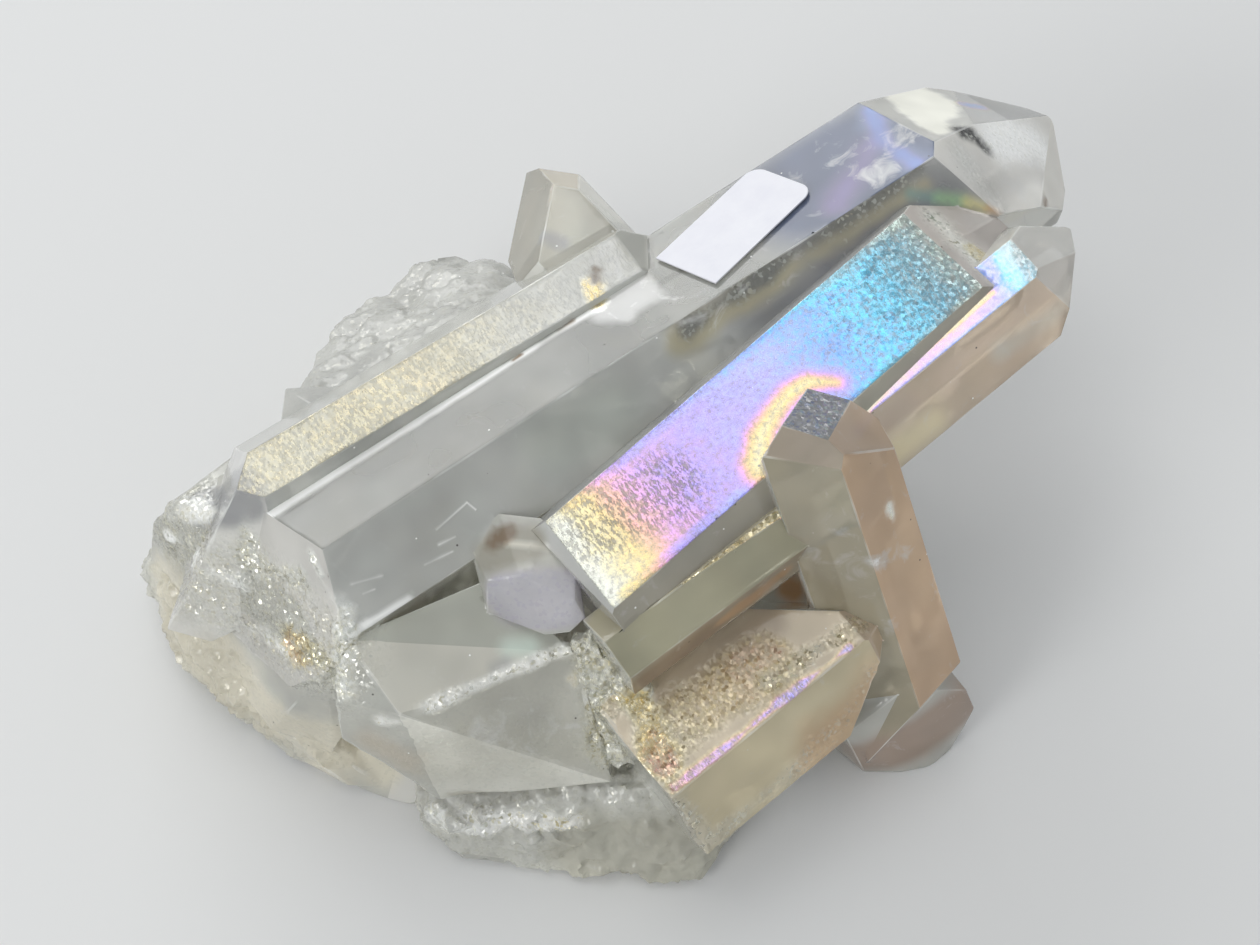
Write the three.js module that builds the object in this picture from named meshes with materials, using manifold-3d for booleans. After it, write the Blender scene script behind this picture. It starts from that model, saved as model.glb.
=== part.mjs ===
// A quartz crystal cluster with an aura coating: long six-sided points lying side by side,
// a wide blade across them, shorter points around them and a rough broken root underneath.
// Millimetres, +Z up. +X runs along the main crystal towards its point, and -Y is the side
// where the cross point stands. The cluster rests on its broken root.
import * as THREE from "three";
import { ConvexGeometry } from "three/addons/geometries/ConvexGeometry.js";
import { ImprovedNoise } from "three/addons/math/ImprovedNoise.js";
import { mergeVertices } from "three/addons/utils/BufferGeometryUtils.js";
import Module from "manifold-3d";

const wasm = await Module();
wasm.setup();

// The prism faces of quartz stand 60 degrees apart
const faceTurn = 60;

// Each crystal stands on the line from root to tip. sides are the distances from that line to
// the six prism faces, of which the first faces up, turned by roll. Each entry of caps and
// rootCaps is a cap face: how far it is turned from the first prism face, its lean, and how
// far it lies behind the tip or the root.
const crystals = {
  main: {
    root: [-59.2, 3.3, 23.9],
    tip: [63.7, 6.2, 36.7],
    roll: -21,
    sides: [11.5, 13, 10, 11, 12, 11.5],
    caps: [
      [0, 38, 2], [-4, 31, 0.5], [41, 41, 3], [66, 48, 2],
      [121, 41, -4], [180, 38, -5], [240, 38, -5], [300, 38, -3],
    ],
    rootCaps: [[26, 61, 12.7], [120, 38, 2], [180, 38, 2], [300, 45, 4]],
  },
  companion: {
    root: [-55.8, 12.8, 24.3],
    tip: [27, 13.4, 31],
    roll: 6,
    sides: [12.5, 7.6, 8, 8, 8, 9.7],
    caps: [[0, 38, 1], [60, 38, 0], [120, 38, 0], [180, 38, 2], [240, 38, 2], [300, 38, 2.6]],
    rootCaps: [[49, 42, 4.2], [300, 40, 4]],
  },
  blade: {
    root: [-16.5, -15.5, 33.1],
    tip: [47.9, -6.7, 44.5],
    roll: 3,
    sides: [5.6, 8, 7.4, 6, 6, 8.3],
    caps: [[0, 37, 2.9], [60, 38, 0.6], [120, 38, 0], [180, 38, 0], [240, 38, 0], [300, 38, 0]],
    rootCaps: [[-4, 38, -3.8]],
  },
  right: {
    root: [6.8, -18.3, 34.2],
    tip: [48.8, -14.9, 44.1],
    roll: 3,
    sides: [5.2, 3.5, 6.2, 7.3, 6.6, 6.2],
    caps: [[2, 41, -0.2], [50, 31, -0.2], [119, 41, -0.2], [180, 38, -4], [240, 38, -4], [300, 38, -3]],
  },
  prism: {
    root: [-17.6, -23.6, 31.1],
    tip: [13.8, -21.7, 35.7],
    roll: -27,
    sides: [4, 3.3, 3.5, 5, 5, 5],
    // the second one is the narrow bevel along its upper edge
    caps: [
      [0, 38, 1], [30, 1.2, -3.75], [69, 35, -0.9],
      [120, 38, 1], [180, 38, 1], [240, 38, 1], [300, 38, 1],
    ],
  },
  block: {
    root: [-18.4, -32.4, 15.7],
    tip: [14.7, -29.4, 21.3],
    roll: 4,
    sides: [8.2, 8.1, 9, 8, 9, 11.5],
    caps: [[0, 38, -2.4], [60, 39, -2.4], [120, 38, 1], [180, 38, 1], [240, 38, 1], [300, 38, 1]],
  },
  cross: {
    root: [13.1, -42.6, 5.1],
    tip: [10.2, -20.2, 48.8],
    roll: 11,
    sides: [3.1, 7.2, 7, 7, 6.6, 2.8],
    caps: [[33, 38, -0.5], [45, 61, 0.1], [193, 37, -3.4], [311, 27, -1.2]],
    rootCaps: [[0, 40, 4]],
  },
  back: {
    root: [9.2, 10.1, 34.8],
    tip: [6.7, 31.8, 36.4],
    roll: -4,
    sides: [3.5, 3.6, 6.4, 5, 8.9, 8.1],
    caps: [[40, 27, -0.6], [65, 39, -1.7], [120, 38, -6], [180, 38, -7], [246, 33, -5.9], [310, 41, 1.3]],
  },
  under: {
    root: [-20, 8, 12],
    tip: [38, 6, 17],
    roll: 12,
    sides: [7, 7, 6.5, 7, 7, 6],
    caps: [[0, 38, 0], [60, 38, 1.5], [120, 38, 0], [180, 38, 1], [240, 38, 0], [300, 38, 2]],
  },
  low: {
    root: [-14, 14, 9],
    tip: [16, 37, 9],
    roll: 10,
    sides: [5.5, 6, 5, 6, 5.5, 5.5],
    caps: [[0, 38, 0], [60, 38, 1.5], [120, 38, 0.5], [180, 38, 0], [240, 38, 2], [300, 38, 0]],
  },
};

// Broken pieces of the root, each the hull of a few corners, with flat faces
const blocks = {
  lower: [
    [-40.4, -6.8, 32.5], [-23.8, -9.1, 33], [-19.8, -19.6, 28.5], [-39.1, -15.1, 27], [-44, -9.8, 27],
    [-44.7, -11, 20], [-39.9, -14, 18], [-38.3, -20.3, 13], [-21.6, -29.6, 15], [-40, 0, 8],
    [-18, -26, 8], [-18, -5, 8], [-38, -14, 8],
  ],
  heel: [
    [-49.4, 25.6, 18], [-48.6, 19.8, 18.9], [-47.8, 14.9, 20.2], [-46, 10.1, 23.7], [-45.1, 1.1, 24.2],
    [-43.3, -6.4, 27.3], [-40.6, -7.3, 32.5], [-45.5, 18.5, 26.3], [-47.5, 22.5, 25], [-42.2, -7.5, 14],
    [-44.6, -6, 7], [-49.4, 0.1, 7], [-50.9, 14.3, 8], [-51.1, 26, 9], [-38, 9, 32], [-36, 24, 26],
    [-30, 0, 20], [-40, 26, 8],
  ],
  spur: [
    [-24, -5.1, 35.5], [-19.9, -5.1, 37.5], [-16.7, -8.2, 38], [-15.6, -13.3, 37], [-18.2, -17.4, 35.5],
    [-21.8, -12.2, 36.5], [-24.8, -10.3, 35.5], [-17.8, -18.7, 33], [-19.7, -18.6, 31.5],
    [-22, -17.2, 31], [-25.9, -11.8, 31.5], [-20, -10, 24],
  ],
  corner: [
    [-32.5, 23, 28], [-28.8, 29.5, 24], [-22.3, 25.8, 24], [-27.5, 19.9, 30], [-31, 26, 14], [-22, 27, 12],
  ],
  foot: [
    [11.3, -39, 17.5], [19.5, -40.8, 11], [20.8, -41.6, 6], [19.7, -41.9, 3], [16.9, -42.7, -1],
    [14.2, -43.1, -1], [11.4, -42, -1], [7.5, -39.4, -1], [7, -37, 2], [4.2, -38.1, 12], [6, -30, 16],
    [19, -32, 12], [18, -32, -1], [5, -30, -1],
  ],
};

// Rough lumps of the root, each the hull of a few corners, broken up by noise
const lumps = {
  skirt: {
    rough: 1,
    corners: [
      [-51.6, 29, 8], [-52.1, 29, 4], [-53.7, 19, 4], [-53.7, 14, 3], [-51.2, 9, 1], [-49.4, 2, 1],
      [-47.9, -3, 1], [-45.6, -8.4, 1], [-40.1, -11.6, 1], [-47, -2, 13], [-50, 12, 14], [-49, 26, 14],
      [-40, 27, -3], [-30, -10, -3], [-30, 24, 16], [-48, 20, -3],
    ],
  },
  ledge: {
    rough: 0.9,
    corners: [
      [-41.3, -15.8, 4], [-40.1, -19.6, 2], [-38.4, -23.4, 1], [-31, -29, 1], [-26, -32, 1],
      [-21.3, -38, 1], [-16.8, -40.5, 1], [-36.6, -21.2, 8.5], [-20.7, -29.8, 13], [-14, -36, 14],
      [-30, -8, 10], [-10, -20, 10], [-8, -38, 0], [-34, -16, -3],
    ],
  },
  column: {
    rough: 0.7,
    corners: [
      [-20, -19, 30], [-15, -18, 33], [-14, -22, 31], [-15.5, -26.4, 26], [-21, -29, 15],
      [-15, -33, 18], [-12, -20, 18], [-22, -20, 16],
    ],
  },
  fan: {
    rough: 1.2,
    corners: [
      [-31, 24, 26], [-28.8, 29.5, 21], [-23.3, 34.5, 19], [-17.2, 39.8, 16.5], [-9.3, 40.7, 15.5],
      [-3.9, 42.2, 14.5], [0, 42.6, 13.5], [4.6, 39.4, 13.5], [5, 35, 14], [-0.7, 26, 24],
      [-24, 18, 28], [-27, 24, 2], [-14, 34, 2], [2, 33, 3], [6, 18, 6],
    ],
  },
  core: {
    rough: 1.2,
    corners: [
      [-44, -10, -3], [-44, 18, -3], [-12, 32, -3], [12, 22, -3], [15, -24, -3], [-6, -38, -3],
      [-28, -28, -3], [-40, 0, 22], [-38, 18, 22], [-8, 26, 20], [20, 12, 22], [16, -20, 22],
      [-20, -25, 18], [8, -34, 12],
    ],
  },
};

// The blank paper sticker on the main crystal's first face: its middle is along from the root
// and across from the axis, and its long side is turned from the axis
const label = {
  along: 80.9,
  across: -0.3,
  length: 17,
  width: 9.3,
  thickness: 0.2,
  turn: 15,
  round: 1.8,
  gap: 0.3,
};

// Everything below the floor is trimmed off, which leaves the flat broken face it stands on
const floor = 0;
const lumpGrain = 7;
const lumpDetail = 7;

const rad = THREE.MathUtils.degToRad;
const up = new THREE.Vector3(0, 0, 1);
const vector = (point) => new THREE.Vector3(...point);

function solidFrom(geometry) {
  const bare = geometry.clone();
  bare.deleteAttribute("normal");
  bare.deleteAttribute("uv");
  const merged = mergeVertices(bare, 1e-4);
  return new wasm.Manifold(
    new wasm.Mesh({
      numProp: 3,
      vertProperties: merged.attributes.position.array,
      triVerts: new Uint32Array(merged.index.array),
    }),
  );
}

function geometryFrom(solid) {
  const mesh = solid.getMesh();
  const geometry = new THREE.BufferGeometry();
  geometry.setAttribute("position", new THREE.BufferAttribute(mesh.vertProperties, 3));
  geometry.setIndex(new THREE.BufferAttribute(mesh.triVerts, 1));
  geometry.computeVertexNormals();
  return geometry;
}

// The convex solid inside a set of planes, from every corner where three of them meet
function solidInside(planes) {
  const corners = [];
  const count = planes.length;
  for (let i = 0; i < count; i++)
    for (let j = i + 1; j < count; j++)
      for (let k = j + 1; k < count; k++) {
        const [a, b, c] = [planes[i], planes[j], planes[k]];
        const bc = new THREE.Vector3().crossVectors(b.normal, c.normal);
        const volume = a.normal.dot(bc);
        if (Math.abs(volume) < 1e-6) continue;
        const corner = bc
          .multiplyScalar(-a.constant)
          .addScaledVector(new THREE.Vector3().crossVectors(c.normal, a.normal), -b.constant)
          .addScaledVector(new THREE.Vector3().crossVectors(a.normal, b.normal), -c.constant)
          .divideScalar(volume);
        if (planes.every((plane) => plane.distanceToPoint(corner) < 1e-5)) corners.push(corner);
      }
  return solidFrom(new ConvexGeometry(corners));
}

// A crystal's axis, and the direction that a face turned from the first prism face looks
function bearing({ root, tip, roll }) {
  const axis = vector(tip).sub(vector(root)).normalize();
  const top = up.clone().addScaledVector(axis, -up.dot(axis)).normalize();
  const flank = new THREE.Vector3().crossVectors(axis, top);
  const outward = (turn) =>
    top
      .clone()
      .multiplyScalar(Math.cos(rad(roll + turn)))
      .addScaledVector(flank, Math.sin(rad(roll + turn)));
  return { axis, outward };
}

function crystal(shape) {
  const { root, tip, sides, caps, rootCaps = [] } = shape;
  const start = vector(root);
  const end = vector(tip);
  const { axis, outward } = bearing(shape);
  const plane = (normal, point, setBack) =>
    new THREE.Plane().setFromNormalAndCoplanarPoint(
      normal,
      point.clone().addScaledVector(normal, -setBack),
    );
  const capPlane = (point, towards, [turn, lean, setBack]) =>
    plane(
      outward(turn)
        .multiplyScalar(Math.cos(rad(lean)))
        .addScaledVector(axis, towards * Math.sin(rad(lean))),
      point,
      setBack,
    );
  return solidInside([
    ...sides.map((distance, i) => plane(outward(i * faceTurn), start, -distance)),
    ...caps.map((cap) => capPlane(end, 1, cap)),
    ...rootCaps.map((cap) => capPlane(start, -1, cap)),
    plane(axis.clone().negate(), start, 0),
  ]);
}

// A lump: its hull seen from its middle, with the surface broken up by noise
const noise = new ImprovedNoise();
function lump({ corners, rough }) {
  const points = corners.map(vector);
  const middle = points
    .reduce((sum, point) => sum.add(point), new THREE.Vector3())
    .divideScalar(points.length);
  const hull = new ConvexGeometry(points).attributes.position;
  const planes = [];
  for (let i = 0; i < hull.count; i += 3) {
    const [a, b, c] = [0, 1, 2].map((k) => new THREE.Vector3().fromBufferAttribute(hull, i + k));
    planes.push(new THREE.Plane().setFromCoplanarPoints(a, b, c));
  }
  const ball = new THREE.IcosahedronGeometry(1, lumpDetail);
  const position = ball.attributes.position;
  for (let i = 0; i < position.count; i++) {
    const way = new THREE.Vector3().fromBufferAttribute(position, i).normalize();
    let reach = Infinity;
    for (const plane of planes) {
      const facing = plane.normal.dot(way);
      if (facing > 1e-6) reach = Math.min(reach, -plane.distanceToPoint(middle) / facing);
    }
    const { x, y, z } = middle.clone().addScaledVector(way, reach).divideScalar(lumpGrain);
    const bump = noise.noise(x, y, z) + 0.5 * noise.noise(2 * x, 2 * y, 2 * z);
    const surface = middle.clone().addScaledVector(way, reach + rough * bump);
    position.setXYZ(i, surface.x, surface.y, surface.z);
  }
  return solidFrom(ball);
}

const block = (corners) => solidFrom(new ConvexGeometry(corners.map(vector)));

function clusterGeometry() {
  const quartz = [
    ...Object.values(crystals).map(crystal),
    ...Object.values(blocks).map(block),
    ...Object.values(lumps).map(lump),
  ];
  const below = new THREE.BoxGeometry(300, 300, 100).translate(0, 0, floor - 50);
  return geometryFrom(wasm.Manifold.union(quartz).subtract(solidFrom(below)));
}

// The sticker: its right-hand corners are rounded, and the left-hand ones are cut sharp
function labelGeometry() {
  const { length, width, thickness, round } = label;
  const [x, y] = [length / 2, width / 2];
  const outline = new THREE.Shape();
  outline.moveTo(-x, -y);
  outline.lineTo(x - round, -y);
  outline.absarc(x - round, -y + round, round, -Math.PI / 2, 0);
  outline.absarc(x - round, y - round, round, 0, Math.PI / 2);
  outline.lineTo(-x, y);
  return new THREE.ExtrudeGeometry(outline, { depth: thickness, bevelEnabled: false, curveSegments: 6 });
}

function placeLabel(mesh) {
  const { axis, outward } = bearing(crystals.main);
  const face = outward(0);
  const across = new THREE.Vector3().crossVectors(face, axis);
  const long = axis.clone().applyAxisAngle(face, rad(label.turn));
  const wide = new THREE.Vector3().crossVectors(face, long);
  mesh.quaternion.setFromRotationMatrix(new THREE.Matrix4().makeBasis(long, wide, face));
  mesh.position
    .copy(vector(crystals.main.root))
    .addScaledVector(axis, label.along)
    .addScaledVector(across, label.across)
    .addScaledVector(face, crystals.main.sides[0] + label.gap);
}

const clusterMesh = new THREE.Mesh(
  clusterGeometry(),
  new THREE.MeshStandardMaterial({ color: 0xc9ccca, roughness: 0.15, metalness: 0 }),
);
clusterMesh.name = "quartz_cluster";

const labelMesh = new THREE.Mesh(
  labelGeometry(),
  new THREE.MeshStandardMaterial({ color: 0xf2f2f4, roughness: 0.7, metalness: 0 }),
);
labelMesh.name = "paper_label";
placeLabel(labelMesh);

// The origin is the middle of the cluster's box, on the floor
const group = new THREE.Group();
group.add(clusterMesh, labelMesh);
const middle = new THREE.Box3().setFromObject(group).getCenter(new THREE.Vector3());
group.position.set(-middle.x, -middle.y, -floor);

export default group;
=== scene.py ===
import math

import bmesh
import bpy
import numpy as np
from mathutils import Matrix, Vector, geometry, noise
from mathutils.bvhtree import BVHTree


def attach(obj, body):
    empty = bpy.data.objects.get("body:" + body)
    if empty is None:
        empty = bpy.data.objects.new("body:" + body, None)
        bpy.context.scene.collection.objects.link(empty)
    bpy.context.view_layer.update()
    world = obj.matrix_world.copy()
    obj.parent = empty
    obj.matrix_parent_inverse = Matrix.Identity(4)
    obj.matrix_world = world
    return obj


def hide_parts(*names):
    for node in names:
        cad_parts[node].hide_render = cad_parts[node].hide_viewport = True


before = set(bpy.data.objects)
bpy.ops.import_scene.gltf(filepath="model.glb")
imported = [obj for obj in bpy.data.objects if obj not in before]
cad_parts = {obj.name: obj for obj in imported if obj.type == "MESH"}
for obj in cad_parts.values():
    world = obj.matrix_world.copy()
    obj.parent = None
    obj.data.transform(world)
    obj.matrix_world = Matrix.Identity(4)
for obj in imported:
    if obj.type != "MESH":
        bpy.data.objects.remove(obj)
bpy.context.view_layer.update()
mm = 0.001
noiseSeed = 1
noise.seed_set(noiseSeed)  # or else noise_vector gives other values each time that Blender starts

# What a user would change about the view and the lights
studio = {
    "azimuth": -33, "elevation": 60, "distance": 0.28, "lens": 68.8,
    "lookAt": Vector((-0.0058, 0.0002, 0.02)),
    "sensor": 36, "clipStart": 0.01,
    "floorColour": (0.78, 0.78, 0.77, 1), "floorRough": 0.9, "floorSize": 3, "floorGap": 0.1 * mm,
    "sky": (0.62, 0.64, 0.66, 1), "skyStrength": 0.85,
    # direction from the object, distance, size, watts
    "lamps": {
        "key": [(-0.04, 0.26, 0.95), 0.8, 0.5, 0.86],
        "back": [(0.15, 0.9, 0.42), 0.9, 0.7, 3],
        "left": [(-0.9, -0.15, 0.5), 0.9, 0.4, 2],
    },
}


def lookTowards(direction):
    return direction.to_track_quat("-Z", "Y")


def viewAxes(s):
    # right, up and back of the camera that matches the photograph
    azimuth, elevation = math.radians(s["azimuth"]), math.radians(s["elevation"])
    back = Vector((math.sin(azimuth) * math.cos(elevation), -math.cos(azimuth) * math.cos(elevation),
                   math.sin(elevation)))
    right = Vector((math.cos(azimuth), math.sin(azimuth), 0))
    return right, back.cross(right), back


def makeStudio(s):
    back = viewAxes(s)[2]
    bpy.ops.object.camera_add(location=s["lookAt"] + back * s["distance"])
    camera = bpy.context.object
    camera.rotation_mode = "QUATERNION"
    camera.rotation_quaternion = lookTowards(-back)
    camera.data.lens, camera.data.sensor_width = s["lens"], s["sensor"]
    camera.data.clip_start = s["clipStart"]
    bpy.context.scene.camera = camera

    bpy.ops.mesh.primitive_plane_add(size=s["floorSize"], location=(0, 0, -s["floorGap"]))
    floor = bpy.context.object
    floor.name = "floor"
    paint = bpy.data.materials.new("floorPaper")
    paint.use_nodes = True
    shader = paint.node_tree.nodes["Principled BSDF"]
    shader.inputs["Base Color"].default_value = s["floorColour"]
    shader.inputs["Roughness"].default_value = s["floorRough"]
    floor.data.materials.append(paint)

    bpy.context.scene.view_settings.view_transform = "Standard"
    world = bpy.data.worlds.new("softRoom")
    bpy.context.scene.world = world
    world.use_nodes = True
    background = world.node_tree.nodes["Background"]
    background.inputs["Color"].default_value = s["sky"]
    background.inputs["Strength"].default_value = s["skyStrength"]

    for name, (direction, distance, size, watts) in s["lamps"].items():
        way = Vector(direction).normalized()
        bpy.ops.object.light_add(type="AREA", location=way * distance)
        lamp = bpy.context.object
        lamp.name = name + "Lamp"
        lamp.rotation_mode = "QUATERNION"
        lamp.rotation_quaternion = lookTowards(-way)
        lamp.data.shape, lamp.data.size, lamp.data.energy = "DISK", size, watts
    print("studio ready")


makeStudio(studio)

# The flat faces that have a look of their own: a place on each in millimetres, its body colour and
# how milky it is
facets = {
    "mainLight": [(-3.4, 7.0, 41.9), (0.68, 0.69, 0.65), 0.30],
    "mainDark": [(-3.4, -1.9, 41.6), (0.80, 0.81, 0.77), 0.46],
    "mainSide": [(0.6, -5.0, 30.3), (0.84, 0.84, 0.76), 0.25],
    "mainTipLeft": [(42.4, 11.7, 41.6), (0.82, 0.82, 0.78), 0.45],
    "mainTipTop": [(52.2, 10.2, 36.6), (0.84, 0.85, 0.84), 0.30],
    "mainTipFront": [(47.4, 2.6, 39.5), (0.95, 0.93, 0.88), 0.60],
    "mainTipRight": [(54.4, 1.0, 33.0), (0.97, 0.94, 0.86), 0.62],
    "mainRoot": [(-50.8, -1.0, 24.0), (0.86, 0.84, 0.79), 0.55],
    "companionTop": [(-22.0, 13.2, 40.1), (0.74, 0.73, 0.66), 0.50],
    "companionStep": [(-21.8, 10.2, 39.3), (0.72, 0.73, 0.69), 0.60],
    "companionRoot": [(-52.6, 11.0, 26.6), (0.93, 0.92, 0.87), 0.60],
    "companionRootFar": [(-51.1, 16.3, 27.1), (0.92, 0.91, 0.88), 0.55],
    "bladeTop": [(0.7, -10.6, 43.0), (0.40, 0.38, 0.34), 0.60],
    "bladeSide": [(-11.5, -20.9, 38.8), (0.52, 0.49, 0.40), 0.45],
    "bladeFar": [(2.4, -4.8, 42.1), (0.62, 0.63, 0.62), 0.45],
    "bladeTip": [(33.3, -7.3, 45.8), (0.74, 0.68, 0.63), 0.50],
    "bladeRoot": [(-22.8, -15.0, 38.3), (0.82, 0.83, 0.80), 0.50],
    "rightTop": [(24.5, -16.3, 45.1), (0.80, 0.80, 0.76), 0.60],
    "rightSide": [(23.9, -19.7, 40.5), (0.94, 0.74, 0.56), 0.42],
    "rightTip": [(40.2, -12.8, 45.9), (0.92, 0.91, 0.86), 0.48],
    "rightTipFront": [(39.3, -16.7, 44.9), (0.91, 0.86, 0.79), 0.46],
    "prismFront": [(-12.2, -24.4, 35.6), (0.66, 0.63, 0.44), 0.44],
    "prismTop": [(-10.1, -21.8, 37.2), (0.80, 0.74, 0.54), 0.50],
    "prismBevel": [(-7.5, -21.9, 37.6), (0.95, 0.90, 0.74), 0.80],
    # painted shade: the prism's under wall has a darker brown colour
    "prismUnder": [(-11.5, -26.1, 31.7), (0.50, 0.42, 0.31), 0.60],
    "blockTop": [(-15.1, -31.5, 25.6), (0.80, 0.68, 0.50), 0.72],
    "blockSide": [(-12.3, -38.6, 20.9), (0.94, 0.82, 0.55), 0.55],
    "blockTip": [(2.3, -33.1, 27.6), (0.78, 0.62, 0.46), 0.55],
    "blockTipFront": [(3.2, -35.3, 25.8), (0.86, 0.66, 0.46), 0.50],
    "crossRight": [(8.8, -31.8, 30.7), (0.88, 0.61, 0.39), 0.52],
    "crossLeft": [(2.5, -32.0, 26.9), (0.58, 0.52, 0.37), 0.44],
    "crossTipBack": [(5.9, -17.8, 47.6), (0.46, 0.47, 0.44), 0.40],
    "crossTipRight": [(8.8, -21.4, 46.0), (0.87, 0.67, 0.50), 0.46],
    "crossTipLeft": [(1.9, -21.0, 48.1), (0.64, 0.54, 0.42), 0.44],
    "backLeft": [(-1.9, 27.5, 34.9), (0.48, 0.46, 0.38), 0.48],
    "backTop": [(0.2, 21.7, 39.0), (0.74, 0.72, 0.62), 0.45],
    "backRight": [(6.0, 23.8, 36.0), (0.88, 0.87, 0.78), 0.48],
    "backTip": [(3.8, 29.5, 36.9), (0.80, 0.73, 0.58), 0.55],
    "lowerTop": [(-36.6, -11.0, 31.3), (0.64, 0.65, 0.57), 0.62],
    "lowerBand": [(-34.3, -17.1, 28.0), (0.88, 0.86, 0.76), 0.62],
    "lowerUnder": [(-43.0, -20.5, 13.6), (0.92, 0.91, 0.82), 0.62],
    "lowerFront": [(-33.3, -21.2, 23.3), (0.70, 0.69, 0.61), 0.58],
}
facetNames = list(facets)

# Colours of the body and of painted shade and reflections, and of the coat's film from thin to thick
tones = {
    "broken": (0.82, 0.82, 0.75), "plain": (0.86, 0.86, 0.79), "white": (0.96, 0.96, 0.93),
    "brown": (0.34, 0.25, 0.17), "rust": (0.66, 0.42, 0.24), "dark": (0.07, 0.07, 0.07),
    "olive": (0.50, 0.47, 0.38), "slate": (0.46, 0.47, 0.50), "smoke": (0.20, 0.20, 0.18),
    # the foot colour is painted shade
    "foot": (0.42, 0.32, 0.25), "lilac": (0.66, 0.65, 0.67), "green": (0.56, 0.66, 0.52),
    "paleGreen": (0.80, 0.95, 0.84), "grey": (0.80, 0.80, 0.76), "yellow": (0.98, 0.86, 0.56),
    "beige": (0.92, 0.86, 0.69), "sand": (0.84, 0.72, 0.56), "cream": (0.94, 0.93, 0.82),
    "sage": (0.66, 0.64, 0.53),
    "night": (0.27, 0.28, 0.31), "salmon": (0.86, 0.60, 0.36), "haze": (0.13, 0.16, 0.25),
    "violet": (0.28, 0.24, 0.46), "sea": (0.20, 0.30, 0.58), "moss": (0.56, 0.50, 0.30),
    "teal": (0.20, 0.34, 0.32), "leaf": (0.36, 0.60, 0.32), "amber": (0.80, 0.72, 0.32),
    "orange": (0.80, 0.48, 0.22),
}
filmColours = [
    (0.00, (0.78, 0.80, 0.72)), (0.10, (0.80, 0.72, 0.44)), (0.20, (0.84, 0.66, 0.32)),
    (0.30, (0.86, 0.50, 0.42)), (0.38, (0.76, 0.42, 0.76)), (0.48, (0.48, 0.38, 0.95)),
    (0.60, (0.40, 0.45, 1.00)), (0.70, (0.22, 0.47, 1.00)), (0.80, (0.18, 0.68, 0.98)),
    (0.90, (0.30, 0.58, 0.70)), (1.00, (0.60, 0.74, 0.68)),
]

# What the marks of growth on the dark face share
growth = dict(on="mainDark", soft=0.25, ragged=0.1, fine=0.18, milk=0.9, tone="white", lift=0.08)
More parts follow.
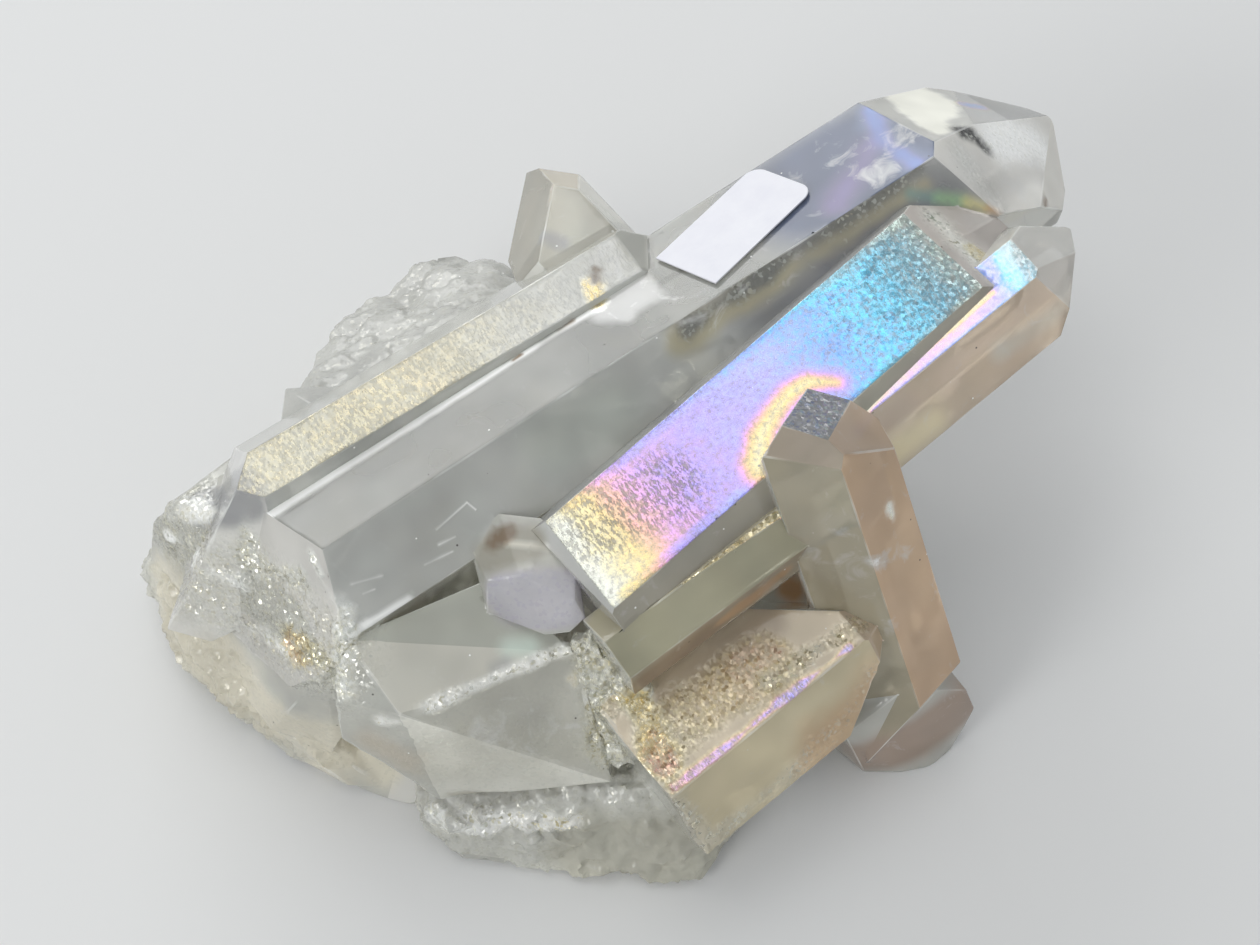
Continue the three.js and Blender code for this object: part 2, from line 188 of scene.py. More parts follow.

# Strokes of the coat, of colour and of painted shade, highlights and reflections. on names the facets
# that a stroke keeps to, path is the places in millimetres that it runs through, wide its half width,
# soft the width of its rim, ragged how far it strays and much its strength. What it changes: film
# (thickness of the coat), thicker (added to it), shine, worn (scratched off), milk, veil (white wisps),
# flake (tilted glints) and tone; rounds (0 to 1) rounds the corners there, chips and lift are relief in
# millimetres, and a thin stroke has fine, the step of the net under it. A value is one number, a pair
# for the two ends, or places along and values
strokes = {
    # main crystal, light face
    "mainMilky": dict(on="mainLight", path=[(-44, 3, 38), (-16, 6, 41)], wide=7, soft=8, milk=0.5,
        tone="plain", much=0.2),
    # painted shade: a dark blue haze painted near the tip, standing for the dark seen through the clear
    # quartz
    "mainShadeNearTip": dict(on="mainLight", path=[(24, 8, 45), (38, 8, 46)], wide=10, soft=8, tone="haze",
        milk=0.68),
    "mainPurple": dict(on="mainLight", path=[(24, 4, 46), (33, 9, 45)], wide=1.6, soft=4, ragged=1,
        tone="violet", film=0.50, shine=0.06, much=0.8),
    "mainBlue": dict(on="mainLight", path=[(34, 3, 48), (33.5, 8, 46.5), (36, 14, 44)], wide=1.4, soft=3,
        ragged=1, tone="sea", film=0.68, shine=0.2, much=0.9),
    "mainVeil": dict(on="mainLight", path=[(30, 5, 46.5), (39, 10, 44.5)], wide=2.5, soft=3, veil=0.6),
    "mainVeilTwo": dict(on="mainLight", path=[(24, 10, 44), (30, 8, 45)], wide=2.2, soft=3, veil=0.35),
    "mainMiddle": dict(on="mainLight", path=[(1, 7, 42.5), (9, 4, 45)], wide=2.4, soft=3, veil=0.6),
    # main crystal, dark face
    # painted shade: night grey painted over the dark face, where it lies out of the light
    "darkFaceShade": dict(on="mainDark", path=[(12, -1, 45), (34, -2, 45)], wide=6, soft=10, tone="night",
        milk=0.42),
    "darkMilky": dict(on="mainDark", path=[(-17, -2, 41), (-10, -3, 41)], wide=3.5, soft=5, tone="green",
        much=0.25),
    # painted reflection: a soft milky green reflection painted on the dark face
    "darkOlive": dict(on="mainDark", path=[(2, 0.8, 44), (16, 0.2, 45)], wide=2.2, soft=3, ragged=1.0,
        tone="olive", veil=0.35, much=0.7),
    "darkGold": dict(on="mainDark", path=[(0, -0.4, 43), (17, 0.2, 45.5), (29, 0.3, 46.8), (33.5, 0.3, 47)],
        wide=(1.4, 0.7), soft=2.2, ragged=1.0, tone="moss", milk=0.6, much=0.75),
    # painted shade in smoke grey along the dark face's top edge, over real glinting grains
    "darkShadeGrains": dict(on="mainDark", path=[(2, 0.6, 43.7), (17, 1.3, 45.9), (34, 2.0, 48.1)], wide=0.8,
        soft=1.8, ragged=1.1, fine=0.4, tone="smoke", milk=0.7, flake=0.6),
    "bandTeal": dict(on="mainDark", path=[(31.5, 0.2, 46.6), (34, -1.2, 45.7)], wide=0.5, soft=1.6,
        tone="teal", milk=0.7),
    "bandGreen": dict(on="mainDark", path=[(34.3, -1.4, 45.6), (36.8, -2.8, 44.6)], wide=0.6, soft=1.6,
        tone="leaf", milk=0.7),
    "bandYellow": dict(on="mainDark", path=[(37.3, -3.1, 44.4), (38.8, -4.1, 43.6)], wide=0.6, soft=1.6,
        tone="amber", milk=0.75),
    "bandOrange": dict(on="mainDark mainTipFront", path=[(39.3, -4.5, 43.4), (41, -5.5, 42.7)], wide=0.5,
        soft=1.4, tone="orange", milk=0.75),
    "darkLowerRim": dict(on="mainDark", path=[(-45, -7.0, 34.0), (-38.5, -6.9, 34.3)], wide=0.4, soft=0.8,
        fine=0.25, milk=0.9, tone="white"),
    # marks of growth on the dark face
    "markOne": dict(growth, path=[(-32.5, -3.2, 38), (-28.3, -2.6, 38.9)], wide=0.1),
    "markTwo": dict(growth, path=[(-28.3, -2.6, 38.9), (-27.8, -3.5, 38.2)], wide=0.1),
    "markThree": dict(growth, path=[(-33, -4.4, 37), (-31.1, -4.5, 37)], wide=0.12),
    "markFour": dict(growth, path=[(-35.3, -5.2, 36.1), (-32, -5.5, 36.2)], wide=0.1, ragged=0.2),
    "markFive": dict(growth, path=[(-43.1, -3.4, 36.9), (-39.9, -4.1, 36.6)], wide=0.12, soft=0.3,
        ragged=0.2, lift=0.1),
    "markSix": dict(growth, path=[(-42.5, -4.6, 36), (-41.2, -4.8, 36)], wide=0.12, soft=0.3, ragged=0.2,
        milk=0.8, lift=0.1),
    # main crystal, tip
    "tipCream": dict(on="mainTipLeft", path=[(45.5, 16.4, 38), (43.5, 12, 40.9), (40.2, 7.2, 44.4)],
        wide=(3.8, 2.6), soft=1.2, ragged=2.2, tone="cream", milk=0.95),
    "tipGrey": dict(on="mainTipFront", path=[(40, 3, 45), (42, -4.5, 43)], wide=1.6, soft=3, ragged=1,
        tone="grey", much=0.7, milk=0.55, flake=0.4),
    "tipSparkle": dict(on="mainTipFront", path=[(47.5, 4.4, 40.3), (54.5, 4.6, 35.2)], wide=3.0, soft=4,
        ragged=1.5, veil=1, flake=0.25, tone="white", milk=0.95),
    # painted shadow: a near-black patch at the top of the tip's front, with glinting grains
    "tipShadow": dict(on="mainTipFront mainTipLeft",
        path=[(42.9, 5.9, 44.1), (44.4, 5.4, 42.9), (45.4, 3.4, 41.6)], wide=(1.6, 1.0), soft=1.2,
        ragged=1.0, fine=0.4, tone="dark", milk=0.75, flake=0.5),
    "tipVeil": dict(on="mainTipFront", path=[(49, 7, 39), (53, 3, 36.5)], wide=3.0, soft=4, veil=0.7),
    "tipVeilLow": dict(on="mainTipFront", path=[(44, 0, 41.5), (47, -2, 39)], wide=2.0, soft=3, veil=0.6),
    "tipBlue": dict(on="mainTipTop mainTipLeft", path=[(49, 12, 38), (51, 11.5, 37)], wide=1.0, soft=1.5,
        film=0.68, shine=0.7),
    "tipBrown": dict(on="mainTipRight", path=[(49.2, -3.6, 35.8), (50, -3, 35.5)], wide=0.7, soft=0.8,
        tone="brown"),
    # companion
    "companionGold": dict(on="companionTop", path=[(-46, 10.5, 38), (-4, 12.4, 41.4)], wide=9,
        film=[(0, 0.09), (0.5, 0.12), (1, 0.03)], shine=[(0, 0.55), (0.45, 0.6), (0.7, 0.4), (1, 0.15)],
        worn=0.35),
    "companionMilk": dict(on="companionTop mainLight", path=[(0, 14, 41.5), (-2, 7, 42)], wide=2.4,
        soft=2.2, ragged=2.4, veil=0.8, tone="white", milk=0.6),
    "companionPale": dict(on="companionTop", path=[(-12, 12.6, 40.8), (-4, 13, 41.5)], wide=6, soft=6,
        tone="grey", milk=0.6),
    "companionSpot": dict(on="companionTop mainLight", path=[(-3, 12.5, 41.4), (-3.5, 10.5, 41)], wide=0.9,
        soft=0.8, ragged=0.8, film=0.16, shine=1.0),
    "companionBrown": dict(on="companionTop", path=[(-1.6, 13.5, 41.7), (-2.4, 12.6, 41.7)], wide=0.5,
        soft=0.6, tone="brown", shine=0),
    # painted highlight: a white line along the groove between companion and main crystal, slightly raised
    "grooveHighlight": dict(on="mainLight", path=[(-46, 8.9, 36.3), (-4.3, 9.7, 40.7)], wide=(0.75, 0.4), soft=0.6,
        ragged=0.3, fine=0.3, milk=1, tone="white", lift=0.12),
    "grooveDirt": dict(on="mainLight companionStep", path=[(-7, 9.9, 40.3), (-9, 9.8, 40.2)], wide=0.3,
        soft=0.4, tone="brown"),
    "grooveDirtTwo": dict(on="mainLight companionStep", path=[(-14, 9.7, 39.8), (-15, 9.6, 39.7)], wide=0.3,
        soft=0.4, tone="brown"),
    # root end on the left
    "rootDark": dict(path=[(-48, 12.5, 36.5), (-50.5, 19.5, 28)], wide=3.2, soft=1.5, tone="slate",
        milk=0.4, much=0.8),
    "rootWhite": dict(path=[(-52.2, 22.5, 23), (-51.2, 18, 28.2)], wide=1.3, soft=1.2, ragged=0.8,
        tone="white", milk=0.85, film=0.0, shine=0.7, lift=0.2),
    "rootChips": dict(path=[(-54, 21, 21), (-48, -4, 28)], wide=7, soft=6, rounds=1, chips=0.24, film=0.04,
        shine=0.35, worn=0.9),
    "rootRidge": dict(path=[(-54.8, 22.5, 19.5), (-54.3, 15.5, 24.6), (-51.4, 8.6, 26.2)], wide=(0.5, 1.1),
        soft=1.0, ragged=0.6, fine=0.3, tone="white", milk=1, film=0, shine=0.3, worn=0.5, lift=0.4,
        chips=0.35),
    "rootGlints": dict(path=[(-47.5, 11.6, 34), (-49.6, 9.2, 29.1), (-48.6, 5.5, 31), (-47, 1.5, 34)],
        wide=1.1, soft=1.5, ragged=1.2, tone="grey", milk=0.7, flake=1, chips=0.4, film=0.04, shine=0.6,
        worn=0.8),
    "rootGlintsLow": dict(path=[(-53.5, 6.5, 21), (-51, 0.1, 23.8)], wide=0.7, soft=1.2, ragged=1.2,
        tone="white", milk=0.9, flake=1, chips=0.35, shine=0.5, worn=0.8),
    "rootVeil": dict(on="mainRoot companionRoot", path=[(-52, 9, 27), (-48, -2, 31)], wide=4, soft=4,
        veil=0.5),
    "rootGold": dict(path=[(-50.2, -1, 26), (-48.8, -5, 28.5)], wide=2.0, soft=1.6, ragged=1.4, fine=0.35,
        film=(0.22, 0.06), shine=0.9, worn=0.3, chips=0.36, flake=1),
    "rootEdge": dict(path=[(-45.1, 1.4, 37.9), (-44.6, -5.2, 35.2)], wide=0.5, soft=0.8, ragged=0.5,
        fine=0.3, tone="white", milk=0.85, shine=0.8, worn=0.4, lift=0.15, chips=0.3),
    "rootCrust": dict(path=[(-46.1, -6.2, 34), (-48.3, -8.6, 27.5)], wide=1.3, soft=1.4, ragged=0.9,
        tone="white", milk=0.9, film=0.02, shine=0.8, worn=0.5, lift=0.2, chips=0.36),
    # blade
    "bladeAura": dict(on="bladeTop", path=[(-21.8, -15.6, 39), (29.5, -8.8, 47.6)], wide=20,
        film=[(0, 0.02), (0.04, 0.08), (0.09, 0.16), (0.12, 0.27), (0.16, 0.34), (0.2, 0.40), (0.3, 0.46),
              (0.4, 0.51), (0.55, 0.58), (0.65, 0.67), (0.75, 0.76), (0.85, 0.81), (0.93, 0.87), (1, 1.0)],
        shine=[(0, 1), (0.85, 1), (0.95, 0.9), (1, 0.75)]),
    "bladeEnd": dict(on="bladeTop", path=[(-22, -10.5, 39.5), (-21.5, -21, 38.5)], wide=0.9, soft=2.2,
        ragged=0.8, film=0.0),
    "bladeHalo": dict(on="bladeTop",
        path=[(-1.2, -19, 42), (-0.8, -16.9, 42.3), (1.0, -14.8, 42.7), (3.6, -13.3, 43.2),
              (6.4, -12.4, 43.8), (8.8, -12.5, 44.2), (11.2, -14.4, 44.4)],
        wide=(1.6, 0.8), soft=3.0, ragged=0.3, fine=0.4, film=0.09),
    "bladeLine": dict(on="bladeTop", path=[(-10.3, -9.3, 41.3), (-7.7, -19.8, 40.9)], wide=0.06, soft=0.25,
        ragged=0.15, fine=0.2, shine=0.55, thicker=0.05, lift=-0.06),
    "bladeLineTwo": dict(on="bladeTop", path=[(-9.8, -7.9, 41.5), (-8.8, -13.2, 41.2)], wide=0.06,
        soft=0.25, ragged=0.15, fine=0.2, shine=0.6, lift=-0.05),
    "bladeFringeFar": dict(on="bladeTop", path=[(-20, -9.2, 39.7), (28, -2.6, 48)], wide=0.5, soft=0.9,
        thicker=0.10),
    "bladeFringeNear": dict(on="bladeTop", path=[(-20.5, -20.8, 38.6), (30, -14.8, 47.2)], wide=0.5,
        soft=0.9, thicker=0.12),
    "bladeScratch": dict(on="bladeTop", path=[(-18, -12.5, 40), (-10, -14, 41)], wide=4, soft=5, ragged=2,
        worn=0.6),
    "bladeWear": dict(on="bladeTop", path=[(18, -9, 46), (30, -9, 48)], wide=7, soft=6, ragged=2,
        worn=[(0, 0.15), (0.5, 0.35), (1, 0.55)], flake=[(0, 0.2), (1, 0.9)]),
    "bladeTipGold": dict(on="bladeTip bladeTop", path=[(33, -9, 46), (33.5, -11.5, 46)], wide=0.9, soft=1,
        ragged=0.6, film=0.12, shine=0.8),
    "bladeTipGlow": dict(on="bladeTip", path=[(31.5, -3.5, 46.8), (32.5, -13.5, 46)], wide=0.9, soft=3,
        ragged=1.2, tone="plain", milk=0.7, flake=0.9),
    # right point
    "rightAura": dict(on="rightTop", path=[(11, -18, 42), (37, -13, 48)], wide=20, tone="white", milk=0.95,
        film=[(0, 0.0), (0.08, 0.09), (0.2, 0.34), (0.6, 0.38), (0.75, 0.5), (0.84, 0.78), (0.93, 0.9),
              (1, 1)],
        shine=[(0, 0.7), (0.6, 0.75), (0.8, 0.9), (1, 0.75)]),
    "rightUpper": dict(on="rightTop", path=[(11.8, -17, 42.3), (31, -15.2, 46.7)], wide=0.35, soft=0.5,
        ragged=0.1, fine=0.25, film=(0.08, 0.18), shine=0.9),
    "rightLower": dict(on="rightTop", path=[(13, -18.4, 42.4), (32, -17, 46.8)], wide=0.3, soft=0.5,
        ragged=0.1, fine=0.25, film=[(0, 0.45), (0.4, 0.6), (1, 0.78)], shine=0.9),
    "rightBlue": dict(on="rightTop", path=[(33, -10.5, 47.4), (32.2, -14, 47)], wide=0.6, soft=1.2,
        film=0.58, shine=1),
    "rightWear": dict(on="rightTop", path=[(35.6, -16.5, 47.6), (36.8, -11, 48.2)], wide=0.9, soft=1.4,
        ragged=0.5, worn=0.7, flake=0.8),
    "rightLilac": dict(on="rightSide", path=[(27, -20, 36), (37, -18, 42)], wide=0.8, soft=1, film=0.47,
        shine=0.5),
    "rightYellow": dict(on="rightSide", path=[(13, -20.8, 36), (20, -20, 37)], wide=2.2, soft=3,
        tone="yellow", milk=0.8, much=0.9),
    "rightPale": dict(on="rightSide", path=[(30, -18.5, 41), (38, -17.5, 42)], wide=1.5, soft=2.5,
        tone="plain", milk=0.5, much=0.8),
    # prism and block
    "prismGold": dict(on="prismBevel", path=[(-15, -22.2, 36.7), (0.5, -21.4, 38.6)], wide=4,
        film=[(0, 0.1), (0.5, 0.17), (1, 0.09)], shine=0.9, flake=1, fine=0.25),
    "prismPink": dict(on="prismBevel", path=[(-6, -22.4, 37.6), (-1, -22.1, 38.2)], wide=0.2, soft=0.3,
        film=0.32),
    "prismShadow": dict(on="prismUnder", path=[(-22, -26.8, 29), (-13, -26.4, 31)], wide=2.6, soft=2,
        ragged=0.8, tone="brown", milk=0.8),
    "prismRust": dict(on="prismUnder", path=[(-11, -26.3, 31.5), (-3, -25.8, 33)], wide=1.2, soft=1.6,
        ragged=1, tone="rust", milk=0.7),
    "prismStain": dict(path=[(1.1, -22.5, 19.8), (-0.2, -25.9, 23.2)], wide=1.3, soft=1.8, ragged=1,
        tone="rust", milk=0.7),
    "blockBrown": dict(on="blockTop", path=[(-20, -27.4, 24.8), (-6, -27.4, 27)], wide=2.2, soft=2.5,
        ragged=1, tone="brown", much=0.55),
    "blockGold": dict(on="blockTop", path=[(-22, -31, 24.5), (-9, -31, 26)], wide=3.4, soft=3, ragged=1.5,
        fine=0.5, film=(0.07, 0.26), shine=(0.6, 0.3), worn=0.8, chips=0.08, flake=0.7),
    "blockGlints": dict(on="blockTop blockTip", path=[(-9, -33, 26.3), (2.5, -33, 27.6)], wide=1.1,
        soft=1.4, ragged=0.8, fine=0.4, film=0.06, shine=0.5, worn=0.7, flake=1, chips=0.12),
    "blockLilac": dict(on="blockTop", path=[(-24, -36.7, 23.7), (-13.1, -35.8, 25.6), (-0.3, -34.7, 27.7)],
        wide=(0.8, 0.4), soft=0.9, ragged=0.7, fine=0.35, film=[(0, 0.36), (0.3, 0.45), (1, 0.55)],
        shine=0.85, worn=0.6),
    "blockBreak": dict(path=[(-24.3, -36.4, 23.7), (-24, -38.7, 20.9), (-23, -41.2, 15.3)], wide=1.0,
        soft=2.4, ragged=1.2, rounds=1, chips=0.35, tone="beige", much=0.8),
    "blockRim": dict(path=[(-23, -41.4, 15), (-9.5, -39.8, 18.3), (-3.4, -38.9, 19.8), (1.4, -37, 23.4)],
        wide=0.7, soft=2.6, ragged=1.6, rounds=1, chips=0.3, tone="beige", much=0.7),
    "blockStain": dict(on="blockSide", path=[(-6, -39.6, 19), (3, -38.6, 22)], wide=3.5, soft=5, ragged=1.5,
        tone="salmon", much=0.9),
    # cross point
    "crossSparkle": dict(on="crossRight", path=[(9.2, -27.4, 38.8), (9.4, -28.2, 37.6)], wide=0.5, soft=0.4,
        film=0, shine=1, milk=1, tone="white"),
    "crossTipGlints": dict(on="crossTipBack", path=[(3, -17, 48), (9, -19, 46.5)], wide=4, tone="slate",
        flake=0.9, shine=0.1, worn=1, film=0),
    "crossStreak": dict(path=[(4.8, -30.6, 35.6), (10, -31.8, 33)], wide=1.0, soft=1.5, ragged=0.8,
        veil=0.8),
    "crossMilk": dict(on="crossLeft", path=[(2, -28, 38), (3, -36, 24)], wide=2.6, soft=3, ragged=1.5,
        veil=0.35),
    # painted shade: the foot near the floor is painted dark brown
    "crossFootShade": dict(path=[(1, -40, 5), (12, -41, 8)], wide=5, soft=4, tone="foot", milk=0.7),
    # spur and lower block
    "spurLilac": dict(path=[(-29, -13, 34), (-25, -15.5, 34)], wide=3.6, soft=1.2, film=0.46, shine=0.04,
        tone="lilac", flake=0.12, milk=0.6),
    # painted reflection: a white streak of reflected light on the spur
    "spurStreak": dict(path=[(-26.6, -8.4, 37.1), (-23.6, -11.2, 37.6)], wide=0.3, soft=0.8, ragged=0.3,
        fine=0.35, tone="white", milk=0.9),
    "spurGreen": dict(path=[(-29, -8, 36.8), (-25, -9.5, 37)], wide=2.2, soft=1.6, tone="olive", much=0.8),
    "spurBrown": dict(path=[(-28, -7, 36.8), (-26, -7.2, 37)], wide=1.0, soft=1, tone="brown"),
    # painted reflection: a pale green reflection painted on the lower block
    "lowerGreen": dict(path=[(-31.5, -15.9, 29.8), (-29.6, -16.6, 29.3)], wide=0.9, soft=2.4, ragged=0.6,
        tone="paleGreen", milk=0.8, much=0.75),
    "lowerSmudge": dict(path=[(-34, -16.4, 28.8), (-32.6, -16.6, 28.9)], wide=0.6, soft=1.6, tone="slate",
        much=0.5),
    "lowerVeil": dict(on="lowerFront", path=[(-38, -20, 23), (-29, -23, 21)], wide=3.5, soft=4, ragged=2,
        veil=0.4),
    "lowerRound": dict(path=[(-45, -17, 20), (-28, -24, 20)], wide=7, soft=5, rounds=0.9, chips=0.05),
    "lowerCrust": dict(
        path=[(-46.6, -13.6, 25.2), (-41.7, -15.6, 27), (-34.3, -17.1, 28), (-26, -18.8, 28.8)],
        wide=(0.6, 0.8), soft=1.0, ragged=0.7, fine=0.3, tone="white", much=0.9, milk=1, film=0.05,
        shine=0.3, worn=0.8, lift=0.25, chips=0.4, rounds=0.6),
    "lowerGrain": dict(path=[(-42, -19, 20), (-29, -23, 19)], wide=4, soft=4, ragged=2, tone="sage",
        much=0.35, flake=0.35),
    "lowerBrown": dict(path=[(-48, -13.2, 21), (-45.5, -15.5, 19)], wide=2.2, soft=3, ragged=1, tone="sand",
        much=0.7, rounds=1, chips=0.1, shine=0.3, worn=1),
    "lowerCrevice": dict(path=[(-43, -20.7, 13.4), (-27, -28, 13.2)], wide=0.5, soft=0.8, ragged=0.4,
        tone="olive", much=0.8, milk=0.7, lift=-0.3),
    "column": dict(path=[(-23.9, -20.9, 29.2), (-26, -27, 18.5)], wide=2.8, soft=2, ragged=0.6, chips=0.3,
        film=0.06, shine=0.5, worn=0.8),
    "columnGlint": dict(path=[(-27, -20.5, 26), (-27.5, -23.5, 21)], wide=0.6, soft=0.8, ragged=0.8,
        tone="white", milk=0.9, film=0.3, shine=0.9, worn=0.5),
    "lowerGold": dict(path=[(-22.3, -26, 25), (-23.6, -34, 24.4)], wide=1.7, soft=1.6, ragged=1.2,
        tone="beige", film=(0.12, 0.26), shine=1, worn=0.5, chips=0.32),
    "ledgeKnob": dict(path=[(-45.2, -19, 7), (-44, -20.5, 6.5)], wide=1.7, soft=1.6, ragged=0.6,
        tone="white", milk=1, film=0.0, shine=0.5, worn=0.4, lift=0.5, chips=0.6),
    "ledgeDull": dict(path=[(-30, -32, 4), (-18, -40, 5)], wide=7, soft=4, ragged=1.5, tone="sage",
        milk=0.6, much=0.85, flake=0),
    "ledgeGlint": dict(path=[(-43, -21.6, 7), (-40, -23.6, 8), (-36.5, -26, 8.5), (-32.5, -28.4, 8.8)],
        wide=(1.2, 1.5), soft=1.1, ragged=1.5, tone="white", milk=1, film=(0.0, 0.1), shine=0.2, worn=0.4,
        lift=0.3, chips=0.55, flake=1),
    # back point
    "backDark": dict(on="backTop backLeft", path=[(-3, 22.5, 38.5), (-2, 20.5, 39)], wide=1.0, soft=1,
        tone="slate", much=0.7),
    "backLine": dict(on="backTop backLeft backTip", path=[(1.5, 27.5, 39.2), (-1.5, 24, 38.8)], wide=0.3,
        soft=0.4, film=0.46, shine=0.6, tone="white", milk=0.9),
    # rough outside of the root
    "fanMilk": dict(path=[(-30, 27, 22), (4, 38, 14)], wide=9, soft=5, tone="grey", milk=0.56, much=0.8,
        flake=0.15),
    "skirtBeige": dict(path=[(-56, 18, 8), (-50, -6, 8)], wide=7, soft=5, ragged=3, tone="beige", milk=0.65,
        rounds=0.5, flake=0.15, much=0.9),
}


# What a stroke has where it says nothing else
usual = {"soft": 0.5, "ragged": 0.3, "much": 1}
for stroke in strokes.values():
    for key, value in usual.items():
        stroke.setdefault(key, value)


def smoothStep(low, high, value):
    t = np.clip((value - low) / (high - low), 0, 1)
    return t * t * (3 - 2 * t)


def legsOf(stroke):
    # the straight legs of a stroke: start, end and how far along the stroke each of them begins and ends
    points = [np.array(point, float) for point in stroke["path"]]
    lengths = [max(np.linalg.norm(b - a), 1e-3) for a, b in zip(points, points[1:])]
    marks = np.concatenate(([0], np.cumsum(lengths))) / sum(lengths)
    return list(zip(points, points[1:], marks, marks[1:]))


def alongStroke(value, t):
    # one value, a pair for the two ends, or a list of places and values
    if isinstance(value, (int, float)):
        return np.full(len(t), float(value))
    if isinstance(value, tuple):
        return value[0] + (value[1] - value[0]) * t
    return np.interp(t, [v[0] for v in value], [v[1] for v in value])


# How the quartz's mesh is refined, in metres and radians. Faces that look towards the photo's view by
# more than facing get the fine net; rowHigh, shake, offRim and offRow are shares of the net's step
refine = {
    "mergeWithin": 0.01 * mm, "flatWithin": math.radians(0.4),
    "sameWay": 0.9985, "samePlane": 0.5 * mm,
    "roughFace": 6.5 * mm * mm, "roughBend": math.radians(42), "roughKin": 2,
    "bevel": 0.14 * mm, "bevelFrom": math.radians(18), "bevelShortest": 2.0 * mm, "floorEdge": 0.4 * mm,
    "fineStep": 0.65 * mm, "roughStep": 0.45 * mm, "plainStep": 1.6 * mm, "facing": 0.1,
    "fineReach": 1.5 * mm, "sharpFrom": math.radians(17),
    "rowHigh": 0.866, "shake": 0.2, "shakeTurn": (3.17, 2.73), "offRim": 0.6, "offRow": 0.3,
}


def activate(piece):
    bpy.ops.object.select_all(action="DESELECT")
    piece.select_set(True)
    bpy.context.view_layer.objects.active = piece


def copyOfNode(name, pieceName):
    # a new object with a copy of a CAD node's mesh, and no material yet
    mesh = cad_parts[name].data.copy()
    piece = bpy.data.objects.new(pieceName, mesh)
    bpy.context.scene.collection.objects.link(piece)
    mesh.materials.clear()
    activate(piece)
    return piece


def selectOnly(mesh, kind, wanted):
    # selects these faces or edges of an edit mesh, and nothing else
    bpy.context.tool_settings.mesh_select_mode = (False, kind == "EDGE", kind == "FACE")
    bpy.ops.mesh.select_all(action="DESELECT")
    for part in wanted:
        part.select_set(True)


def isGrainy(face, small):
    # a small face that enough small neighbours meet at a low angle
    kin = 0
    for edge in face.edges:
        others = [f for f in edge.link_faces if f != face]
        if others and others[0] in small and edge.calc_face_angle(0) < refine["roughBend"]:
            kin += 1
    return kin >= refine["roughKin"]


def markFaces(mesh):
    # grit 1 on the broken grainy faces, the number of its facet on each flat one, and edge for later
    grit = mesh.faces.layers.int.new("grit")
    mesh.faces.layers.int.new("edge")
    facet = mesh.faces.layers.int.new("facet")
    small = {f for f in mesh.faces if f.calc_area() < refine["roughFace"]}
    mesh.faces.ensure_lookup_table()
    tree = BVHTree.FromBMesh(mesh)
    nearest = [tree.find_nearest(Vector(place) * mm) for place, _, _ in facets.values()]
    planes = [(mesh.faces[index].normal.copy(), point) for point, _, index, _ in nearest]
    for face in mesh.faces:
        face[facet] = -1
        face[grit] = int(face in small and isGrainy(face, small))
        if face[grit]:
            continue
        middle = face.calc_center_median()
        for number, (way, point) in enumerate(planes):
            away = abs((middle - point).dot(way))
            if face.normal.dot(way) > refine["sameWay"] and away < refine["samePlane"]:
                face[facet] = number
                break


def markEdges(mesh):
    # crisp 1 on the long outer edges between clean faces
    crisp = mesh.edges.layers.int.new("crisp")
    grit = mesh.faces.layers.int["grit"]
    for edge in mesh.edges:
        clean = len(edge.link_faces) == 2 and not any(f[grit] for f in edge.link_faces)
        raised = edge.verts[0].co.z + edge.verts[1].co.z >= refine["floorEdge"]
        long = edge.calc_length() > refine["bevelShortest"]
        sharp = edge.calc_face_angle_signed(0) > refine["bevelFrom"]
        edge[crisp] = int(clean and long and raised and sharp)


def splitEdges(mesh, steps):
    # cuts each edge into equal stretches no longer than the shortest step of its faces
    for edge in list(mesh.edges):
        step = min(steps[f] for f in edge.link_faces)
        start = edge.verts[0]
        for cuts in range(int(edge.calc_length() / step), 0, -1):
            start = bmesh.utils.edge_split(edge, start, 1 / (cuts + 1))[1]


def fineRows(rim, toFlat, normal, start):
    # net points in rows along the thin strokes on a flat face, and tests that keep other points off them
    rows, tests = [], []
    fine = [(stroke, leg) for stroke in strokes.values() if "fine" in stroke for leg in legsOf(stroke)]
    for stroke, leg in fine:
        ends = [Vector(end) * mm - start for end in leg[:2]]
        if max(abs(end.dot(normal)) for end in ends) > refine["fineReach"]:
            continue
        step = stroke["fine"]
        first, last = (np.array(toFlat(end)) for end in ends)
        length = max(np.linalg.norm(last - first), step)
        run = (last - first) / length
        half = max(np.atleast_1d(stroke["wide"])) + stroke["soft"] / 2
        side = np.array((-run[1], run[0]))
        for j in range(int(-half / step) - 1, int(half / step) + 2):
            for i in range(-1, int(length / step) + 2):
                spot = first + run * (i + 0.5 * (j % 2)) * step + side * j * step
                ahead = np.roll(rim, -1, axis=0) - rim
                t = np.clip(((spot - rim) * ahead).sum(axis=1) / (ahead ** 2).sum(axis=1), 0, 1)
                if np.hypot(*(rim + ahead * t[:, None] - spot).T).min() > refine["offRow"] * step:
                    rows.append(Vector(spot))
        tests.append((first, run, side, length, half, step))
    return rows, tests


